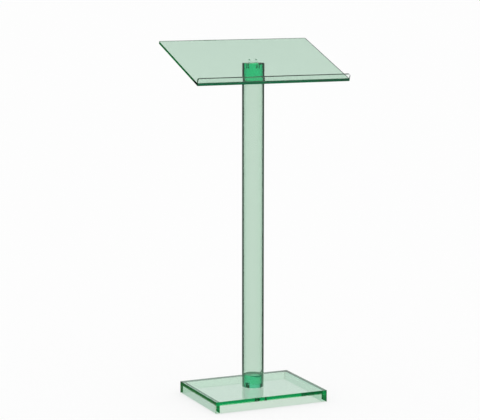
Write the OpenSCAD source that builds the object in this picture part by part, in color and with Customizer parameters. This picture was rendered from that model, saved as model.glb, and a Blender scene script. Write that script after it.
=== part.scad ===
// Presentation lectern in green-tinted clear acrylic.
//
// A shallow box base, open underneath, carries a round tube column. A solid plug is cemented
// into each end of the tube. Screws through the base plate pull the column down from below.
// The tube's top is sawn square, with a sloping seat planed across its front. The desk is
// cemented to that seat, and two upright studs in the head plug hold it behind the seat. A lip
// along the desk's lower edge stops papers from sliding off.
//
// The origin is on the floor under the column's axis, at the middle of the base.
// +Z is up, +X is to the right of a person facing the lip, and -Y is the side with the lip.

/* [Base] */
// Width of the base
base_w = 385; // [300:5:500]
// Depth of the base, front to back
base_d = 300; // [220:5:400]
// Height of the base, from the floor to its top face
base_h = 38; // [30:1:60]
// Thickness of the sheet of the base's top plate and its front and back walls
base_sheet = 12; // [10:1:15]
// Thickness of the sheet of the base's left and right walls
side_sheet = 15; // [10:1:18]

/* [Column] */
// Outside diameter of the tube
tube_d = 70; // [64:1:90]
// Wall thickness of the tube
tube_wall = 5; // [4:0.5:7]
// Length of the solid plug in the foot of the tube
foot_plug_len = 40; // [30:1:60]
// Length of the solid plug in the head of the tube
head_plug_len = 57; // [45:1:80]
// Height of the sloping seat, from the front of the rim up to the square top
seat_h = 4.5; // [3:0.5:8]

/* [Desk] */
// Width of the desk
desk_w = 515; // [420:5:600]
// Length of the desk, measured down its slope
desk_l = 340; // [280:5:400]
// Thickness of the desk's sheet
desk_sheet = 8; // [6:1:10]
// Slope of the desk, in degrees from level
desk_tilt = 19.5; // [12:0.5:25]
// Height above the floor of the middle of the desk's underside
desk_height = 1084; // [900:1:1200]
// How far the middle of the desk stands in front of the column's axis
desk_forward = 2; // [0:1:6]
// Radius of the desk's two upper corners, seen square on
desk_corner_r = 4; // [2:1:10]
// How far the lip stands above the desk's upper face
lip_rise = 15; // [10:1:25]
// Thickness of the lip, front to back
lip_thick = 8; // [5:1:10]
// Radius of the lip's two upper corners
lip_corner_r = 5; // [2:1:7]

/* [Screws and studs] */
// Diameter of the base screws
base_screw_d = 6; // [5:1:6]
// Length of the base screws, head included
base_screw_len = 20; // [18:1:36]
// Number of base screws
base_screw_count = 3; // [3:1:4]
// Radius of the circle that the base screws stand on
base_screw_circle_r = 20; // [14:1:21]
// Diameter of the desk studs
desk_stud_d = 6; // [4:1:8]
// How deep the desk studs stand in the head plug
desk_stud_depth = 16; // [12:1:24]
// Distance of each desk stud to the left and right of the column's axis
desk_stud_x = 11.5; // [9:0.5:15]
// How far the desk studs stand behind the column's axis
desk_stud_y = 5; // [0:1:10]

/* [Hidden] */

// A film of clear cement fills every glued joint
cement = 0.05;
// Radial clearance of a screw or stud in its hole
screw_clearance = 0.1;
// How far a drilled hole runs on past the tip of its screw or stud
drill_past = 2;
// Extra length that carries a cutting tool clear of the face that it cuts
cut_clear = 1;
// A half-space is cut away with a block of this size
block = 2000;
// Head of a countersunk screw, as multiples of its diameter, with a right-angled cone
head_ratio = 2;
// Hexagon socket in the head: width across the corners and depth, as multiples of the diameter
socket_d_ratio = 0.72;
socket_depth_ratio = 0.36;

// Colours
sheet_tint = [0.77, 0.86, 0.79];
tube_tint = [0.75, 0.84, 0.78];
plug_tint = [0.25, 0.72, 0.48];
screw_tint = [0.72, 0.72, 0.70];
stud_tint = [0.60, 0.80, 0.68];

// Base
plate_z = base_h - base_sheet;
wall_h = plate_z - cement;
side_wall_l = base_d - 2 * (base_sheet + cement);

// Column
tube_r = tube_d / 2;
bore_r = tube_r - tube_wall;
plug_r = bore_r - cement;
column_z = base_h + cement;

// Height of the desk's underside over a point that is y behind the column's axis
function underside_z(y) = desk_height + (y + desk_forward) * tan(desk_tilt);

// The seat starts where the desk's underside passes over the front of the tube's rim
column_top_z = underside_z(-tube_r) + seat_h;
lip_y = -desk_l / 2;

// Puts its children on the desk: x to the right, y up the slope, z square to the sheet,
// with z = 0 on the underside and x = y = 0 at the middle of the desk.
module on_desk() {
    translate([0, -desk_forward, desk_height])
        rotate([desk_tilt, 0, 0])
            children();
}

// All the space above the film of cement on the desk's underside.
module above_seat() {
    on_desk()
        translate([-block / 2, -block / 2, -cement])
            cube([block, block, block]);
}

// A rectangle with square lower corners and its two upper corners rounded to radius r.
// It is centred on x and stands on y = 0.
module top_rounded_rect(w, h, r) {
    translate([-w / 2, 0])
        square([w, h - r]);
    translate([r - w / 2, 0])
        square([w - 2 * r, h]);
    for (side = [-1, 1])
        translate([side * (w / 2 - r), h - r])
            circle(r = r, $fn = 64);
}

// Places its children where the base screws stand: one at the back, the others evenly round.
module at_base_screws() {
    for (i = [0 : base_screw_count - 1])
        rotate([0, 0, 90 + i * 360 / base_screw_count])
            translate([base_screw_circle_r, 0, plate_z])
                children();
}

// Places its children on the desk studs' axes, at the height that the studs start from.
module at_desk_studs() {
    for (side = [-1, 1])
        translate([side * desk_stud_x, desk_stud_y, column_top_z - desk_stud_depth])
            children();
}

// A countersunk screw of diameter d, with its head's flat face at z = 0 and its tip at z = len.
module countersunk_screw(d, len) {
    head_d = head_ratio * d;
    head_h = (head_d - d) / 2;
    difference() {
        union() {
            cylinder(h = head_h, d1 = head_d, d2 = d, $fn = 48);
            cylinder(h = len, d = d, $fn = 48);
        }
        translate([0, 0, -cut_clear])
            cylinder(h = socket_depth_ratio * d + cut_clear, d = socket_d_ratio * d, $fn = 6);
    }
}

// The hole that a countersunk screw goes in: a shank hole that runs past its tip, and a
// countersink for its head.
module countersunk_hole(d, len) {
    head_d = head_ratio * d;
    hole_d = d + 2 * screw_clearance;
    sink_d = head_d + 2 * screw_clearance;
    sink_h = (sink_d - hole_d) / 2;
    translate([0, 0, -cut_clear])
        cylinder(h = len + drill_past + cut_clear, d = hole_d, $fn = 48);
    cylinder(h = sink_h, d1 = sink_d, d2 = hole_d, $fn = 48);
    translate([0, 0, -cut_clear])
        cylinder(h = cut_clear, d = sink_d, $fn = 48);
}

module base_screw_holes() {
    at_base_screws()
        countersunk_hole(base_screw_d, base_screw_len);
}

module desk_stud_holes() {
    at_desk_studs()
        translate([0, 0, -drill_past])
            cylinder(h = desk_height, d = desk_stud_d + 2 * screw_clearance, $fn = 48);
}

// A wall under the front or back edge of the base, as wide as the base itself.
module end_wall(y_outer, direction) {
    y_low = direction > 0 ? y_outer - base_sheet : y_outer;
    color(sheet_tint)
        translate([-base_w / 2, y_low, 0])
            cube([base_w, base_sheet, wall_h]);
}

// A wall under the left or right edge of the base, between the front and back walls.
module side_wall(x_low) {
    color(sheet_tint)
        translate([x_low, -side_wall_l / 2, 0])
            cube([side_sheet, side_wall_l, wall_h]);
}

module base_top_plate() {
    color(sheet_tint)
        difference() {
            translate([-base_w / 2, -base_d / 2, plate_z])
                cube([base_w, base_d, base_sheet]);
            base_screw_holes();
        }
}

module base_front_wall() {
    end_wall(-base_d / 2, -1);
}

module base_back_wall() {
    end_wall(base_d / 2, 1);
}

module base_left_wall() {
    side_wall(-base_w / 2);
}

module base_right_wall() {
    side_wall(base_w / 2 - side_sheet);
}

module column_tube() {
    color(tube_tint)
        difference() {
            translate([0, 0, column_z])
                cylinder(h = column_top_z - column_z, r = tube_r, $fn = 96);
            translate([0, 0, column_z - cut_clear])
                cylinder(h = desk_height, r = bore_r, $fn = 96);
            above_seat();
        }
}

module foot_plug() {
    color(plug_tint)
        difference() {
            translate([0, 0, column_z])
                cylinder(h = foot_plug_len, r = plug_r, $fn = 96);
            base_screw_holes();
        }
}

module head_plug() {
    color(plug_tint)
        difference() {
            translate([0, 0, column_top_z - head_plug_len])
                cylinder(h = head_plug_len, r = plug_r, $fn = 96);
            above_seat();
            desk_stud_holes();
        }
}

module desk_panel() {
    color(sheet_tint)
        on_desk()
            translate([0, -desk_l / 2, 0])
                linear_extrude(height = desk_sheet)
                    top_rounded_rect(desk_w, desk_l, desk_corner_r);
}

module desk_lip() {
    color(sheet_tint)
        on_desk()
            translate([0, lip_y + lip_thick, desk_sheet + cement])
                rotate([90, 0, 0])
                    linear_extrude(height = lip_thick)
                        top_rounded_rect(desk_w, lip_rise - cement, lip_corner_r);
}

module base_screws() {
    color(screw_tint)
        at_base_screws()
            countersunk_screw(base_screw_d, base_screw_len);
}

module desk_studs() {
    color(stud_tint)
        difference() {
            at_desk_studs()
                cylinder(h = desk_height, d = desk_stud_d, $fn = 48);
            above_seat();
        }
}

base_top_plate();
base_front_wall();
base_back_wall();
base_left_wall();
base_right_wall();
column_tube();
foot_plug();
head_plug();
desk_panel();
desk_lip();
base_screws();
desk_studs();
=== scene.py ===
"""Presentation lectern in green-tinted clear acrylic: the looks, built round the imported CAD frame."""

import math

import bmesh
import bpy
from mathutils import Matrix, Vector


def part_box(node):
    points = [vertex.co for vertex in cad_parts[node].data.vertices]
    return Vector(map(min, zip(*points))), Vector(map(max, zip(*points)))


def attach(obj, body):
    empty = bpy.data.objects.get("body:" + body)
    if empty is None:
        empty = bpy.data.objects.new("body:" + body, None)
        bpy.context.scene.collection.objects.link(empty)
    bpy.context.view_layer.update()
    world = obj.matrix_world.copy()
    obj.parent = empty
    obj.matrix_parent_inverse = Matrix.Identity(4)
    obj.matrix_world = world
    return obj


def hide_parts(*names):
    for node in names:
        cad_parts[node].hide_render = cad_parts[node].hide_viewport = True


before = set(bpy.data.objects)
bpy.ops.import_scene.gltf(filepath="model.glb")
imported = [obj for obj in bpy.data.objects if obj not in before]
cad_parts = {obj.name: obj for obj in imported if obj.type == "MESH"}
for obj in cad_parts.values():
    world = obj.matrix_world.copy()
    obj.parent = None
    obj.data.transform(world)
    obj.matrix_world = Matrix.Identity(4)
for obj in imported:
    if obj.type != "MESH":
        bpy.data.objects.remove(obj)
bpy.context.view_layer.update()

# ---------------------------------------------------------------- sizes, in metres
MM = 0.001
DESK_TILT = math.radians(19.5)      # slope of the desk
DESK_SHEET = 8 * MM                 # thickness of the desk's sheet
DESK_LENGTH = 340 * MM              # length of the desk, measured down its slope
DESK_CORNER_R = 4 * MM              # radius of the desk's two upper corners
LIP_RISE = 15 * MM                  # how far the lip stands above the desk's upper face
LIP_THICK = 8 * MM                  # thickness of the lip, front to back
LIP_CORNER_R = 5 * MM               # radius of the lip's two upper corners
SCREW_R = 3 * MM                    # radius of a base screw's shank
SCREW_HEAD_R = 6 * MM               # radius of its countersunk head
SCREW_CIRCLE_R = 20 * MM            # radius of the circle that the base screws stand on
SCREW_ANGLES = (90, 210, 330)       # where they stand round the column's axis, in degrees
SOCKET_R = 2.16 * MM                # hexagon socket in the head, from its middle to a corner
SOCKET_DEPTH = 2.16 * MM
STUD_R = 3 * MM                     # radius of a desk stud
THREAD_PITCH = 1 * MM
THREAD_DEPTH = 0.5 * MM
THREAD_STEPS = 8                    # rings to each turn of a thread
THREAD_FLAT = 0.1                   # the crest and the root are each this share of a turn wide
HOLE_CLEARANCE = 0.1 * MM           # radial clearance of a screw or stud in its hole
DRILL_PAST = 2 * MM                 # how far a drilled hole runs on past the tip of its screw or stud
TIP_BEVEL = 0.6 * MM                # bevel round the tip of a screw or stud
HEAD_ARRIS = 0.1 * MM               # bevel round the edge of a screw's head
STUD_COLLAR = 0.2 * MM              # plain stretch under the lowest point of a stud's sloping top
SHEET_ARRIS = 0.3 * MM              # polished bevel along the sawn edges of the sheet
ROUND_ARRIS = 0.4 * MM              # the same on the tube and the plugs
RIM_SHARE = 0.3                     # the tube's rim is eased at a point this share of its arris in
ARRIS_SEGMENTS = 2
CORNER_SEGMENTS = 12                # steps round a corner of the desk or the lip
FILM = 0.05 * MM                    # film of cement that the CAD leaves in each glued joint
WETTED = 0.01 * MM                  # how far glued pieces run into each other here, past that film
RING = 256                          # points round the tube and the plugs
SCREW_RING = 48                     # points round a screw or stud
FLOOR_RING = 96                     # points round the floor
CUTTER = 100 * MM                   # reach of the tools that cut the seat and the stud holes
SINK_REACH = 1 * MM                 # how far below the plate the countersinks' cutters start
SLIVER = 0.001 * MM                 # edges shorter than this, left by a cut, are closed up
SMOOTH_ANGLE = math.radians(12)     # edges that turn further than this stay sharp
ARRIS_ANGLE = math.radians(20)      # edges of the sheet that turn further than this get the arris
SAME_PLACE = 0.0001 * MM            # points closer than this to a plane lie on it

# ---------------------------------------------------------------- camera and studio
CAMERA_PLACE = (-2.2765, -5.0382, 1.4312)
CAMERA_DOWN = 8.42                  # how far the camera looks below level, in degrees
CAMERA_TURN = 23.886                # how far it is turned to the right of straight ahead
CAMERA_LENS = 131.4                 # in millimetres
CAMERA_SENSOR = 36                  # width of the sensor, in millimetres
CAMERA_REACH = 200                  # how far the camera sees, which takes in the whole floor

FLOOR_RADIUS = 80
FLOOR_LIFT = 0.05 * MM              # the walls' lower edges sink this far into the floor
FLOOR_GLOW = 0.70                   # light that the floor sends out by itself, as a lit table does
FLOOR_PAPER = 0.29                  # the part of the light falling on it that it sends back
FLOOR_ROUGHNESS = 0.9
PALE = 0.98                         # the pale room behind everything
# The room as the polished faces mirror it: sine of the height above the horizon, and brightness.
ROOM = (
    (-1.0, 1.2), (-0.5, 1.0), (-0.34, 0.42), (-0.246, 0.42), (-0.232, 0.12), (-0.14, 0.17),
    (-0.09, 0.12), (-0.05, 0.06), (0.0, 1.0), (0.15, 0.7), (0.30, 0.75), (0.50, 0.35),
    (0.62, 0.25), (1.0, 0.25),
)
BACKDROP = (0.405, 0.914, 0)        # which way the brightest part of that room lies
BACKDROP_EDGE = (0.70, 0.97)        # cosines of the angles where it has faded out, and where it starts to
ROOM_ASIDE = 0.35                   # how bright the room is beside the backdrop, as a share of it


def set_up_scene():
    scene = bpy.context.scene
    scene.view_settings.view_transform = "Standard"
    scene.view_settings.look = "None"
    cycles = scene.cycles
    cycles.max_bounces = 64
    cycles.glossy_bounces = 48
    cycles.transmission_bounces = 64
    cycles.transparent_max_bounces = 16
    cycles.diffuse_bounces = 2


def camera():
    data = bpy.data.cameras.new("camera")
    data.lens = CAMERA_LENS
    data.sensor_width = CAMERA_SENSOR
    data.clip_end = CAMERA_REACH
    ob = bpy.data.objects.new("camera", data)
    bpy.context.collection.objects.link(ob)
    ob.location = CAMERA_PLACE
    ob.rotation_euler = (math.radians(90 - CAMERA_DOWN), 0, -math.radians(CAMERA_TURN))
    bpy.context.scene.camera = ob


def mirrored_factor(tree):
    """1 for light that has been mirrored on its way, and 0 for light that has come straight through."""
    path = tree.nodes.new("ShaderNodeLightPath")
    step = tree.nodes.new("ShaderNodeMath")
    step.operation = "GREATER_THAN"
    step.inputs[1].default_value = 0.5      # the depth counts reflections, so 1 is already above it
    tree.links.new(path.outputs["Glossy Depth"], step.inputs[0])
    return step.outputs[0]


def floor_material():
    """Lit matt paper, which mirrored light passes through to the room below."""
    mat = bpy.data.materials.new("floor_paper")
    mat.use_nodes = True
    tree = mat.node_tree
    paper = tree.nodes["Principled BSDF"]
    paper.inputs["Base Color"].default_value = (FLOOR_PAPER, FLOOR_PAPER, FLOOR_PAPER, 1)
    paper.inputs["Roughness"].default_value = FLOOR_ROUGHNESS
    paper.inputs["Specular IOR Level"].default_value = 0.0
    paper.inputs["Emission Color"].default_value = (FLOOR_GLOW, FLOOR_GLOW, FLOOR_GLOW, 1)
    paper.inputs["Emission Strength"].default_value = 1.0
    clear = tree.nodes.new("ShaderNodeBsdfTransparent")
    mix = tree.nodes.new("ShaderNodeMixShader")
    tree.links.new(mirrored_factor(tree), mix.inputs[0])
    tree.links.new(paper.outputs[0], mix.inputs[1])
    tree.links.new(clear.outputs[0], mix.inputs[2])
    tree.links.new(mix.outputs[0], tree.nodes["Material Output"].inputs["Surface"])
    return mat


def floor():
    bm = bmesh.new()
    bmesh.ops.create_circle(bm, cap_ends=True, segments=FLOOR_RING, radius=FLOOR_RADIUS)
    mesh = bpy.data.meshes.new("floor")
    bm.to_mesh(mesh)
    bm.free()
    mesh.materials.append(floor_material())
    ob = bpy.data.objects.new("floor", mesh)
    bpy.context.collection.objects.link(ob)
    ob.location.z = FLOOR_LIFT


def room():
    """An even pale room for straight light, and ROOM, darker beside the backdrop, for mirrored light."""
    world = bpy.data.worlds.new("studio")
    bpy.context.scene.world = world
    world.use_nodes = True
    tree = world.node_tree
    coord = tree.nodes.new("ShaderNodeTexCoord")

    split = tree.nodes.new("ShaderNodeSeparateXYZ")
    height = tree.nodes.new("ShaderNodeMath")
    height.operation = "MULTIPLY_ADD"
    height.inputs[1].default_value = height.inputs[2].default_value = 0.5      # -1 to 1 becomes 0 to 1
    ramp = tree.nodes.new("ShaderNodeValToRGB")
    tree.links.new(coord.outputs["Generated"], split.inputs[0])
    tree.links.new(split.outputs["Z"], height.inputs[0])
    tree.links.new(height.outputs[0], ramp.inputs["Fac"])
    elements = ramp.color_ramp.elements
    while len(elements) < len(ROOM):
        elements.new(0.5)
    for element, (sine, level) in zip(elements, ROOM):
        element.position = (sine + 1) / 2
        element.color = (level, level, level, 1)

    towards = tree.nodes.new("ShaderNodeVectorMath")
    towards.operation = "DOT_PRODUCT"
    towards.inputs[1].default_value = BACKDROP
    tree.links.new(coord.outputs["Generated"], towards.inputs[0])
    side = tree.nodes.new("ShaderNodeMapRange")
    side.inputs["From Min"].default_value, side.inputs["From Max"].default_value = BACKDROP_EDGE
    side.inputs["To Min"].default_value, side.inputs["To Max"].default_value = ROOM_ASIDE, 1.0
    tree.links.new(towards.outputs["Value"], side.inputs["Value"])
    shade = tree.nodes.new("ShaderNodeVectorMath")
    shade.operation = "SCALE"
    tree.links.new(ramp.outputs["Color"], shade.inputs[0])
    tree.links.new(side.outputs[0], shade.inputs["Scale"])

    mix = tree.nodes.new("ShaderNodeMix")
    mix.data_type = "RGBA"
    straight, mirrored = [s for s in mix.inputs if s.type == "RGBA"]
    straight.default_value = (PALE, PALE, PALE, 1)
    tree.links.new(shade.outputs[0], mirrored)
    tree.links.new(mirrored_factor(tree), mix.inputs["Factor"])
    mixed = next(s for s in mix.outputs if s.type == "RGBA")
    tree.links.new(mixed, tree.nodes["Background"].inputs["Color"])


# ---------------------------------------------------------------- materials
NOISE_SPAN = (0.3, 0.7)             # the part of 0 to 1 that Blender's noise mostly keeps to
RELIEF_FINER = 1.7                  # how much finer the relief is than the wear
CAST = (1, 1, 1)                    # cast sheet and rod are slightly wavy, alike in every direction
DRAWN = (6, 6, 0.1)                 # the tube is drawn, so its marks run along it
TURNED = (1, 1, 12)                 # marks round an upright axis
ACRYLIC_IOR = 1.49
DENSITY_ROOM = 1.05                 # keeps the absorption's colour above black in every channel
WEAR_DETAIL = 4.0                   # how many finer layers the noise of the wear has
RELIEF_DETAIL = 2.0                 # the same for the relief
STEEL_GREY = (0.56, 0.56, 0.54)


def worked_surface(tree, stretch, mark, roughness, depth):
    """Gives the surface the faint marks of how it was made and handled. Both its roughness and its
    relief come from noise: stretch is how much finer the marks are along x, y and z, mark is their
    size, roughness is the lowest and highest value, and depth is the height of the relief."""
    bsdf = tree.nodes["Principled BSDF"]
    coord = tree.nodes.new("ShaderNodeTexCoord")
    mapping = tree.nodes.new("ShaderNodeMapping")
    mapping.inputs["Scale"].default_value = stretch
    tree.links.new(coord.outputs["Object"], mapping.inputs["Vector"])

    wear = tree.nodes.new("ShaderNodeTexNoise")
    wear.inputs["Scale"].default_value = 1 / mark
    wear.inputs["Detail"].default_value = WEAR_DETAIL
    tree.links.new(mapping.outputs[0], wear.inputs["Vector"])
    spread = tree.nodes.new("ShaderNodeMapRange")
    spread.inputs["From Min"].default_value, spread.inputs["From Max"].default_value = NOISE_SPAN
    spread.inputs["To Min"].default_value, spread.inputs["To Max"].default_value = roughness
    tree.links.new(wear.outputs[0], spread.inputs["Value"])
    tree.links.new(spread.outputs[0], bsdf.inputs["Roughness"])

    relief = tree.nodes.new("ShaderNodeTexNoise")
    relief.inputs["Scale"].default_value = RELIEF_FINER / mark
    relief.inputs["Detail"].default_value = RELIEF_DETAIL
    tree.links.new(mapping.outputs[0], relief.inputs["Vector"])
    bump = tree.nodes.new("ShaderNodeBump")
    bump.inputs["Distance"].default_value = depth
    tree.links.new(relief.outputs[0], bump.inputs["Height"])
    tree.links.new(bump.outputs[0], bsdf.inputs["Normal"])


def acrylic(
    name, absorb, tint=(1, 1, 1),
    stretch=CAST, mark=60 * MM, roughness=(0.0, 0.01), depth=0.01 * MM,
):
    """Clear acrylic. absorb is how much of the red, green and blue a metre of it takes, as natural
    logs, and tint is what each face lets through. The rest is for worked_surface."""
    mat = bpy.data.materials.new(name)
    mat.use_nodes = True
    tree = mat.node_tree
    bsdf = tree.nodes["Principled BSDF"]
    bsdf.inputs["Base Color"].default_value = (*tint, 1)
    bsdf.inputs["IOR"].default_value = ACRYLIC_IOR
    bsdf.inputs["Transmission Weight"].default_value = 1.0
    volume = tree.nodes.new("ShaderNodeVolumeAbsorption")
    density = max(absorb) * DENSITY_ROOM
    volume.inputs["Density"].default_value = density
    volume.inputs["Color"].default_value = (*[1 - a / density for a in absorb], 1)
    tree.links.new(volume.outputs[0], tree.nodes["Material Output"].inputs["Volume"])
    worked_surface(tree, stretch, mark, roughness, depth)
    return mat


def steel(name):
    """Stainless steel, with the marks of the lathe round its axis."""
    mat = bpy.data.materials.new(name)
    mat.use_nodes = True
    tree = mat.node_tree
    bsdf = tree.nodes["Principled BSDF"]
    bsdf.inputs["Base Color"].default_value = (*STEEL_GREY, 1)
    bsdf.inputs["Metallic"].default_value = 1.0
    worked_surface(tree, stretch=TURNED, mark=4 * MM, roughness=(0.22, 0.40), depth=0.02 * MM)
    return mat


BASE_SHEET = acrylic("acrylic_base", (16, 1.0, 4.8), (0.97, 0.950, 0.875))
DESK_PANEL = acrylic("acrylic_desk", (13, 0.8, 3.0), (0.82, 0.936, 0.81))
DESK_LIP = acrylic("acrylic_lip", (7, 0.0, 4.5))
TUBE = acrylic("acrylic_tube", (42, 5, 26), (0.975, 0.92, 0.935), stretch=DRAWN, depth=0.002 * MM)
HEAD_ROD = acrylic("acrylic_head", (56, 0.1, 12))
FOOT_ROD = acrylic("acrylic_foot", (26, 0.1, 7))
STUD = acrylic("clear_stud", (20, 4, 10), stretch=TURNED, mark=4 * MM, roughness=(0.0, 0.05))
STEEL = steel("steel_screw")


# ---------------------------------------------------------------- mesh helpers
def new_object(name, bm):
    mesh = bpy.data.meshes.new(name)
    bmesh.ops.recalc_face_normals(bm, faces=bm.faces)
    bm.to_mesh(mesh)
    bm.free()
    ob = bpy.data.objects.new(name, mesh)
    bpy.context.collection.objects.link(ob)
    return ob


def cut(ob, cutters):
    """Cuts each cutter's shape out of ob, and removes the cutters."""
    for cutter in cutters:
        mod = ob.modifiers.new("cut", "BOOLEAN")
        mod.operation = "DIFFERENCE"
        mod.solver = "EXACT"
        mod.object = cutter
    bpy.context.view_layer.update()
    mesh = bpy.data.meshes.new_from_object(ob.evaluated_get(bpy.context.evaluated_depsgraph_get()))
    ob.modifiers.clear()
    ob.data = mesh
    bm = bmesh.new()
    bm.from_mesh(mesh)
    bmesh.ops.dissolve_degenerate(bm, dist=SLIVER, edges=bm.edges)
    bm.to_mesh(mesh)
    bm.free()
    for cutter in cutters:
        bpy.data.objects.remove(cutter)


def finish_piece(ob, mat, node):
    """Shades and colours a piece that stands for a CAD node."""
    for face in ob.data.polygons:
        face.use_smooth = True
    ob.data.set_sharp_from_angle(angle=SMOOTH_ANGLE)
    ob.data.materials.clear()
    ob.data.materials.append(mat)
    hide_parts(node)
    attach(ob, "root")


def slab(name, lo, hi, place=None, joined=(), rounded=(), round_r=0.0, arris=SHEET_ARRIS):
    """A piece of sheet between two corners. The sides named in joined, such as "+z", are glued, so
    they run WETTED past the film and keep sharp edges. The edges in rounded, each named by its two
    sides, are rounded to round_r first. The other edges get the arris."""
    axes = "xyz"
    lo, hi = list(lo), list(hi)
    for side in joined:
        k = axes.index(side[1])
        if side[0] == "-":
            lo[k] -= FILM + WETTED
        else:
            hi[k] += FILM + WETTED

    bm = bmesh.new()
    bmesh.ops.create_cube(bm, size=1)
    for v in bm.verts:
        v.co = Vector([(lo[k] + hi[k]) / 2 + v.co[k] * (hi[k] - lo[k]) for k in range(3)])

    def edge_on(edge, side):
        k = axes.index(side[1])
        level = (lo if side[0] == "-" else hi)[k]
        return all(abs(v.co[k] - level) < SAME_PLACE for v in edge.verts)

    corners = [e for e in bm.edges if any(all(edge_on(e, s) for s in pair) for pair in rounded)]
    if corners:
        bmesh.ops.bevel(
            bm, geom=corners, offset=round_r, segments=CORNER_SEGMENTS, profile=0.5, affect="EDGES"
        )
    free = [
        e for e in bm.edges
        if e.calc_face_angle() > ARRIS_ANGLE and not any(edge_on(e, s) for s in joined)
    ]
    if arris:
        bmesh.ops.bevel(bm, geom=free, offset=arris, segments=ARRIS_SEGMENTS, profile=0.5, affect="EDGES")
    if place is not None:
        bm.transform(place)
    return new_object(name, bm)


def turned(name, rings, count=RING, place=None):
    """A closed solid whose rings lie about the z axis, and whose last ring joins the first. A ring is
    (radius, height): either may be a function, of the angle for the radius and of x and y for the
    height. Radius 0 is one point."""
    bm = bmesh.new()
    made = []
    for r, z in rings:
        ring = []
        for i in range(1 if r == 0 else count):
            angle = 2 * math.pi * i / count
            radius = r(angle) if callable(r) else r
            x, y = radius * math.cos(angle), radius * math.sin(angle)
            ring.append(bm.verts.new((x, y, z(x, y) if callable(z) else z)))
        made.append(ring)
    for a, b in zip(made, made[1:] + made[:1]):
        if len(a) == len(b) == 1:
            continue
        for i in range(count):
            j = (i + 1) % count
            quad = (a[i % len(a)], a[j % len(a)], b[j % len(b)], b[i % len(b)])
            bm.faces.new(tuple(dict.fromkeys(quad)))
    if place is not None:
        bm.transform(place)
    return new_object(name, bm)


def thread_radius(r, z, start, end):
    """Radius, by angle, of a thread of outside radius r at height z, fading out at its ends."""
    def radius(angle):
        turn = (z / THREAD_PITCH - angle / (2 * math.pi)) % 1
        groove = (1 - abs(2 * turn - 1) - THREAD_FLAT) / (1 - 2 * THREAD_FLAT)
        groove = min(1, max(0, groove))
        fade = min(1, max(0, (z - start) / THREAD_PITCH), max(0, (end - z) / THREAD_PITCH))
        return r - THREAD_DEPTH * groove * fade
    return radius


def thread_rings(r, start, end):
    steps = round((end - start) / THREAD_PITCH * THREAD_STEPS)
    heights = [start + (end - start) * i / steps for i in range(steps + 1)]
    return [(thread_radius(r, z, start, end), z) for z in heights]


def merged(name, obs):
    """One object out of several."""
    bm = bmesh.new()
    for ob in obs:
        bm.from_mesh(ob.data)
        bpy.data.objects.remove(ob)
    return new_object(name, bm)


# ---------------------------------------------------------------- places, from the frame
plate_lo, plate_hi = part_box("base_top_plate")
tube_lo, tube_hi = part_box("column_tube")
foot_lo, foot_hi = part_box("foot_plug")
head_lo, head_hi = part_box("head_plug")
desk_lo, desk_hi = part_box("desk_panel")
_, screws_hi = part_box("base_screws")
studs_lo, studs_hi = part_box("desk_studs")

PLATE_UNDER = plate_lo[2]
SCREW_LENGTH = screws_hi[2] - PLATE_UNDER
TUBE_R = tube_hi[0]
PLUG_R = head_hi[0]
BORE_R = PLUG_R + FILM
SQUARE_TOP = head_hi[2]                         # height of the column's square top
STUD_TIP = studs_lo[2]
STUD_X = studs_hi[0] - STUD_R
STUD_Y = (studs_lo[1] + studs_hi[1]) / 2
DESK_W = desk_hi[0] - desk_lo[0]
SIN_TILT, COS_TILT = math.sin(DESK_TILT), math.cos(DESK_TILT)
# The middle of the desk's underside. ON_DESK puts a piece there, x to the right and y up the slope.
DESK_MID_Y = (desk_lo[1] + desk_hi[1]) / 2 + DESK_SHEET * SIN_TILT / 2
DESK_MID_Z = (desk_lo[2] + desk_hi[2]) / 2 - DESK_SHEET * COS_TILT / 2
ON_DESK = Matrix.Translation((0, DESK_MID_Y, DESK_MID_Z)) @ Matrix.Rotation(DESK_TILT, 4, "X")


def at_screw(degrees):
    """The place of the base screw at this angle round the column's axis."""
    angle = math.radians(degrees)
    x, y = SCREW_CIRCLE_R * math.cos(angle), SCREW_CIRCLE_R * math.sin(angle)
    return Matrix.Translation((x, y, PLATE_UNDER))


def at_stud(side):
    """The place of a desk stud. side is -1 for the left one and 1 for the right one."""
    return Matrix.Translation((side * STUD_X, STUD_Y, 0))


# ---------------------------------------------------------------- base
def screw_holes():
    """Cutters for the base screws' countersunk holes."""
    r = SCREW_R + HOLE_CLEARANCE
    sink_r = SCREW_HEAD_R + HOLE_CLEARANCE
    tip = SCREW_LENGTH + DRILL_PAST
    rings = [(0, -SINK_REACH), (sink_r, -SINK_REACH), (sink_r, 0)]
    rings += [(r, sink_r - r), (r, tip), (0, tip)]
    return [turned("cutter", rings, SCREW_RING, at_screw(a)) for a in SCREW_ANGLES]


def base():
    plate = slab("base_top_plate_sheet", plate_lo, plate_hi)
    cut(plate, screw_holes())
    finish_piece(plate, BASE_SHEET, "base_top_plate")
    for node, joined in (
        ("base_front_wall", ("+z",)),
        ("base_back_wall", ("+z",)),
        ("base_left_wall", ("+z", "-y", "+y")),
        ("base_right_wall", ("+z", "-y", "+y")),
    ):
        lo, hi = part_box(node)
        finish_piece(slab(node + "_sheet", lo, hi, joined=joined), BASE_SHEET, node)


# ---------------------------------------------------------------- column
def above_seat():
    """Cutter for the space above the column's sloping seat, which stands WETTED into the desk."""
    return slab("cutter", (-CUTTER, -CUTTER, WETTED), (CUTTER, CUTTER, CUTTER), ON_DESK, arris=0)


def stud_hole(side):
    """Cutter for a desk stud's hole."""
    r = STUD_R + HOLE_CLEARANCE
    bottom = STUD_TIP - DRILL_PAST
    top = SQUARE_TOP + CUTTER
    return turned("cutter", [(0, bottom), (r, bottom), (r, top), (0, top)], SCREW_RING, at_stud(side))


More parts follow.
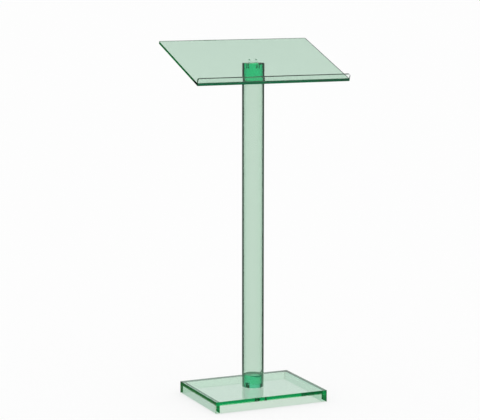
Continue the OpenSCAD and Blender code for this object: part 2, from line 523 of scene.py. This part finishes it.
def column_tube():
    a = ROUND_ARRIS
    low, top = tube_lo[2], tube_hi[2]
    ob = turned("column_tube_wall", [
        (TUBE_R, low), (TUBE_R, top - a), (TUBE_R - RIM_SHARE * a, top - RIM_SHARE * a),
        (TUBE_R - a, top), (BORE_R, top), (BORE_R, low),
    ])
    cut(ob, [above_seat()])
    finish_piece(ob, TUBE, "column_tube")


def foot_plug():
    a = ROUND_ARRIS
    low, top = foot_lo[2], foot_hi[2]
    ob = turned("foot_plug_rod", [(0, low), (PLUG_R, low), (PLUG_R, top - a), (PLUG_R - a, top), (0, top)])
    cut(ob, screw_holes())
    finish_piece(ob, FOOT_ROD, "foot_plug")


def head_plug():
    a = ROUND_ARRIS
    low = head_lo[2]
    ob = turned("head_plug_rod", [
        (0, low), (PLUG_R - a, low), (PLUG_R, low + a), (PLUG_R, SQUARE_TOP), (0, SQUARE_TOP),
    ])
    cut(ob, [above_seat(), stud_hole(-1), stud_hole(1)])
    finish_piece(ob, HEAD_ROD, "head_plug")


# ---------------------------------------------------------------- desk
def desk():
    panel = slab(
        "desk_panel_sheet", (-DESK_W / 2, -DESK_LENGTH / 2, 0), (DESK_W / 2, DESK_LENGTH / 2, DESK_SHEET),
        ON_DESK, rounded=(("-x", "+y"), ("+x", "+y")), round_r=DESK_CORNER_R,
    )
    finish_piece(panel, DESK_PANEL, "desk_panel")
    lip = slab(
        "desk_lip_sheet", (-DESK_W / 2, -DESK_LENGTH / 2, DESK_SHEET + FILM),
        (DESK_W / 2, LIP_THICK - DESK_LENGTH / 2, DESK_SHEET + LIP_RISE),
        ON_DESK, joined=("-z",), rounded=(("-x", "+z"), ("+x", "+z")), round_r=LIP_CORNER_R,
    )
    finish_piece(lip, DESK_LIP, "desk_lip")


# ---------------------------------------------------------------- screws and studs
def hexagon(angle):
    """Radius of the hexagon socket at an angle."""
    side = math.pi / 3
    return SOCKET_R * math.cos(side / 2) / math.cos(angle % side - side / 2)


def base_screws():
    shank = SCREW_HEAD_R - SCREW_R
    rings = [(0, SOCKET_DEPTH), (hexagon, SOCKET_DEPTH), (hexagon, 0)]
    rings += [(SCREW_HEAD_R - HEAD_ARRIS, 0), (SCREW_HEAD_R, HEAD_ARRIS)]
    rings += thread_rings(SCREW_R, shank + HEAD_ARRIS, SCREW_LENGTH - TIP_BEVEL)
    rings += [(SCREW_R - TIP_BEVEL, SCREW_LENGTH), (0, SCREW_LENGTH)]
    screws = [turned("screw", rings, SCREW_RING, at_screw(a)) for a in SCREW_ANGLES]
    finish_piece(merged("base_screws_threaded", screws), STEEL, "base_screws")


def stud_top(x, y):
    """Height of a stud's sloping top, which stands WETTED into the desk."""
    return studs_hi[2] + (FILM + WETTED) / COS_TILT + (y - STUD_R) * math.tan(DESK_TILT)


def desk_studs():
    rings = [(0, STUD_TIP), (STUD_R - TIP_BEVEL, STUD_TIP)]
    rings += thread_rings(STUD_R, STUD_TIP + TIP_BEVEL, SQUARE_TOP - THREAD_PITCH)
    rings += [(STUD_R, stud_top(0, -STUD_R) - STUD_COLLAR), (STUD_R, stud_top), (0, stud_top)]
    studs = [turned("stud", rings, SCREW_RING, at_stud(side)) for side in (-1, 1)]
    finish_piece(merged("desk_studs_threaded", studs), STUD, "desk_studs")


set_up_scene()
camera()
floor()
room()
base()
column_tube()
foot_plug()
head_plug()
desk()
base_screws()
desk_studs()
